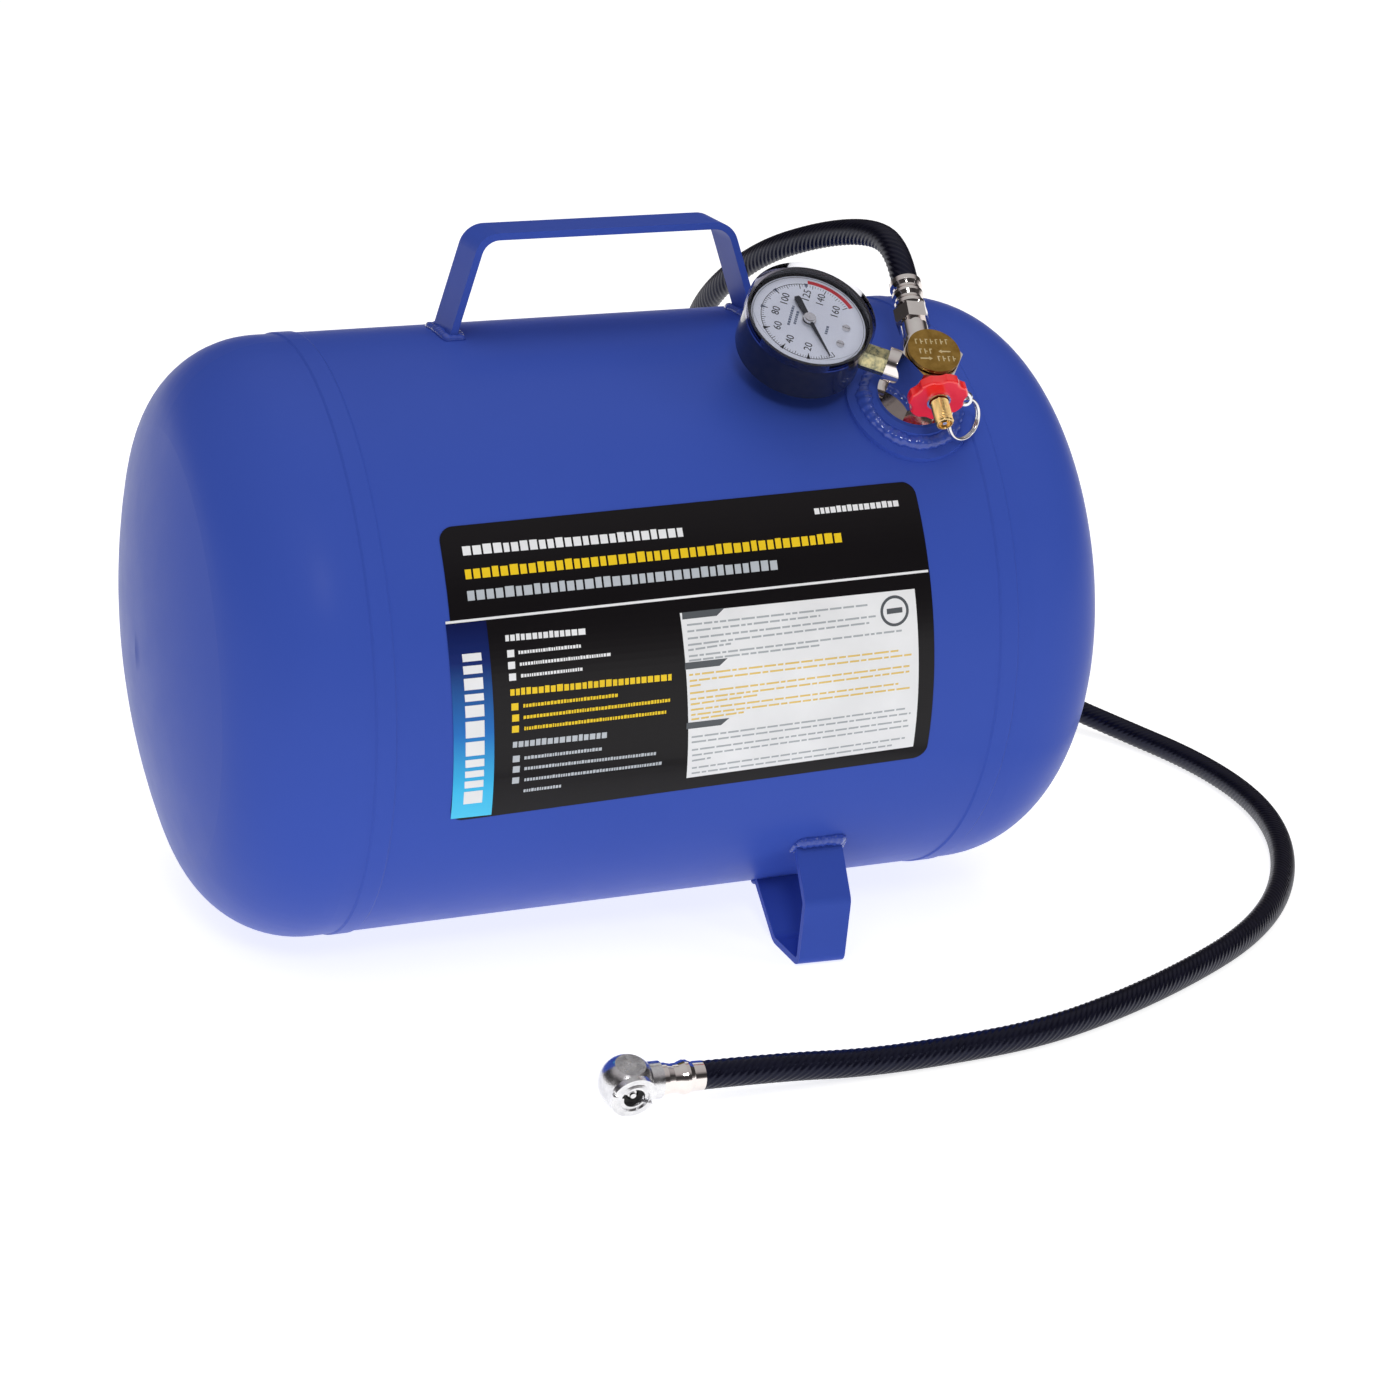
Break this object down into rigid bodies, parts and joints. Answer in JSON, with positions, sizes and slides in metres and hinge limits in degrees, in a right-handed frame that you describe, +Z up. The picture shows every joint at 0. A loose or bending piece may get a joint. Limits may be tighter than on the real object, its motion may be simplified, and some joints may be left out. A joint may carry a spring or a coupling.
{
  "type": "air receiver tank",
  "caption": "Portable horizontal air receiver with carry handle, loop feet and a manifold with gauge, shut-off knob, fill valve, relief valve with pull ring, and hose with air chuck.",
  "frame": {"origin": "on the floor, straight under the middle of the vessel", "axes": "+X along the vessel towards the end that carries the manifold and the feet, +Y towards the back, away from the label and the fill valve, +Z up. The vessel leans 2 degrees, with its +X end raised on the feet."},
  "size_m": [0.5688, 0.4647, 0.3037],
  "materials": {
    "vessel_paint": "gloss",
    "label_film": "gloss",
    "chrome": "polished",
    "zinc_plate": "satin, slightly yellow",
    "steel": "satin",
    "brass": "satin",
    "red_plastic": "gloss",
    "black_case": "semi-gloss",
    "clear_lens": "clear, polished",
    "dial_white": "satin print",
    "pointer_black": "satin",
    "hose_rubber": "matt, ribbed",
    "seal_rubber": "matt"
  },
  "bodies": {
    "tank": {"shell": "vessel_paint", "head_right": "vessel_paint", "head_left": "vessel_paint", "seam_right": "vessel_paint", "seam_left": "vessel_paint", "label": "label_film", "handle": "vessel_paint", "handle_weld_left": "vessel_paint", "handle_weld_right": "vessel_paint", "foot_front": "vessel_paint", "foot_back": "vessel_paint", "foot_weld_front_upper": "vessel_paint", "foot_weld_front_lower": "vessel_paint", "foot_weld_back_upper": "vessel_paint", "foot_weld_back_lower": "vessel_paint", "port_pad": "vessel_paint", "port_bung": "vessel_paint", "port_weld": "vessel_paint", "manifold_body": "chrome", "airflow_disc": "brass", "fill_stem": "brass", "valve_core": "brass", "relief_body": "chrome", "gauge_case": "black_case", "gauge_lens": "clear_lens", "gauge_dial": "dial_white", "dial_screws": "steel", "movement_frame": "brass", "gauge_socket": "zinc_plate", "bourdon_tube": "brass", "sector_arbor": "steel", "hose_fitting": "chrome", "hose_ferrule_top": "chrome", "hose": "hose_rubber", "hose_ferrule_end": "chrome", "chuck_body": "chrome", "chuck_nose": "chrome", "chuck_seal": "seal_rubber", "chuck_pin": "steel"},
    "knob": {"shutoff_knob": "red_plastic", "shutoff_sleeve": "brass", "knob_washer": "steel"},
    "core_pin": {"core_pin": "steel"},
    "relief": {"relief_stem": "steel", "relief_poppet": "brass"},
    "ring": {"pull_ring": "steel"},
    "pointer": {"pointer": "pointer_black", "pointer_hub": "steel", "pinion_staff": "brass"},
    "sector": {"sector_gear": "brass"}
  },
  "joints": [
    {"name": "knob_turn", "type": "hinge", "parent": "tank", "child": "knob", "pos_m": [0.10128, -0.10729, 0.24899], "axis": [-0.0833, -0.793, -0.6035], "range_deg": [0, 270]},
    {"name": "core_press", "type": "slide", "parent": "tank", "child": "core_pin", "axis": [0.0833, 0.793, 0.6035], "range_m": [0, 0.0015], "stiffness_N_per_m": 400, "springref_m": -0.002},
    {"name": "relief_pull", "type": "slide", "parent": "tank", "child": "relief", "axis": [0.821, -0.4687, -0.3259], "range_m": [0, 0.0025], "stiffness_N_per_m": 2000, "springref_m": -0.004},
    {"name": "ring_swing", "type": "hinge", "parent": "relief", "child": "ring", "pos_m": [0.11927, -0.09659, 0.24505], "axis": [0.9385, 0.3452, 0], "range_deg": [-60, 2]},
    {"name": "pointer_sweep", "type": "hinge", "parent": "tank", "child": "pointer", "pos_m": [0.05601, -0.07759, 0.27891], "axis": [0.0282, 0.6035, -0.7969], "range_deg": [0, 262], "stiffness_Nm_per_rad": 0.0001},
    {"name": "sector_swing", "type": "hinge", "parent": "tank", "child": "sector", "pos_m": [0.06699, -0.07483, 0.26608], "axis": [0.0282, 0.6035, -0.7969], "range_deg": [-47.7, 0]}
  ],
  "couplings": [
    {"joint": "sector_swing", "follows": "pointer_sweep", "ratio": -0.1818}
  ]
}
